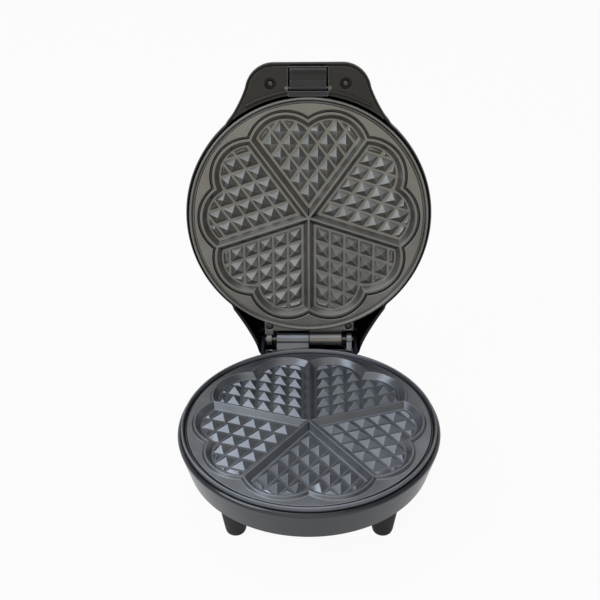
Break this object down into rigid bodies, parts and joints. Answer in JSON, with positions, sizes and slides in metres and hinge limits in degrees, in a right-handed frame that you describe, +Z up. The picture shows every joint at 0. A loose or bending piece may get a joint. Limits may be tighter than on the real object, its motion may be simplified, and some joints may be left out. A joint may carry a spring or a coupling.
{
  "type": "heart waffle maker",
  "caption": "Round countertop waffle maker on tapered feet, its hinged lid open over heart-shaped waffle plates with pointed studs, and a handle with a swing latch.",
  "frame": {"origin": "on the worktop, under the middle of the open machine's bounding box", "axes": "+Z up, -Y towards the handle side where the user stands, +Y towards the hinge, +X to the user's right"},
  "size_m": [0.2104, 0.2882, 0.3111],
  "materials": {
    "shell": "glossy black moulded plastic",
    "underside": "matt dark moulded plastic",
    "lower_coating": "cast aluminium under a grey satin non-stick coating",
    "upper_coating": "cast aluminium under a warm grey satin non-stick coating",
    "element_sheath": "dull oxidised sheath",
    "reflector_sheet": "plain pressed sheet",
    "bright_steel": "bright drawn steel",
    "plate_screw": "dark coated steel",
    "control": "unglazed off-white ceramic",
    "gland": "soft black rubber",
    "liner": "fine-grained dark brown-grey plastic",
    "latch": "satin dark grey plastic",
    "foot": "matt dark grey plastic",
    "red_lens": "clear red lens",
    "green_lens": "clear green lens"
  },
  "bodies": {
    "base": {"base_shell": "shell", "bottom_cover": "underside", "lower_plate": "lower_coating", "lower_heating_element": "element_sheath", "lower_reflector": "reflector_sheet", "hinge_pin": "bright_steel", "foot_front_left": "foot", "foot_front_right": "foot", "foot_rear_left": "foot", "foot_rear_right": "foot", "lower_plate_screw_left": "plate_screw", "lower_plate_screw_right": "plate_screw", "cover_screw_1": "bright_steel", "cover_screw_2": "bright_steel", "cover_screw_3": "bright_steel", "cover_screw_4": "bright_steel", "thermostat": "control", "thermal_fuse": "control", "terminal_block": "control", "cable_gland": "gland"},
    "lid": {"lid_shell": "shell", "handle_liner": "liner", "latch_bracket": "latch", "latch_pin": "bright_steel", "liner_screw_left": "bright_steel", "liner_screw_right": "bright_steel", "lamp_power": "red_lens", "lamp_ready": "green_lens", "upper_plate": "upper_coating", "upper_heating_element": "element_sheath", "upper_reflector": "reflector_sheet", "upper_plate_screw_left": "plate_screw", "upper_plate_screw_right": "plate_screw"},
    "latch": {"latch_arm": "latch"}
  },
  "joints": [
    {"name": "lid_hinge", "type": "hinge", "parent": "base", "child": "lid", "pos_m": [0, 0.07291, 0.0745], "axis": [1, 0, 0], "range_deg": [0, 102]},
    {"name": "latch_hinge", "type": "hinge", "parent": "lid", "child": "latch", "pos_m": [0, 0.11953, 0.29094], "axis": [1, 0, 0], "range_deg": [0, 88]}
  ]
}
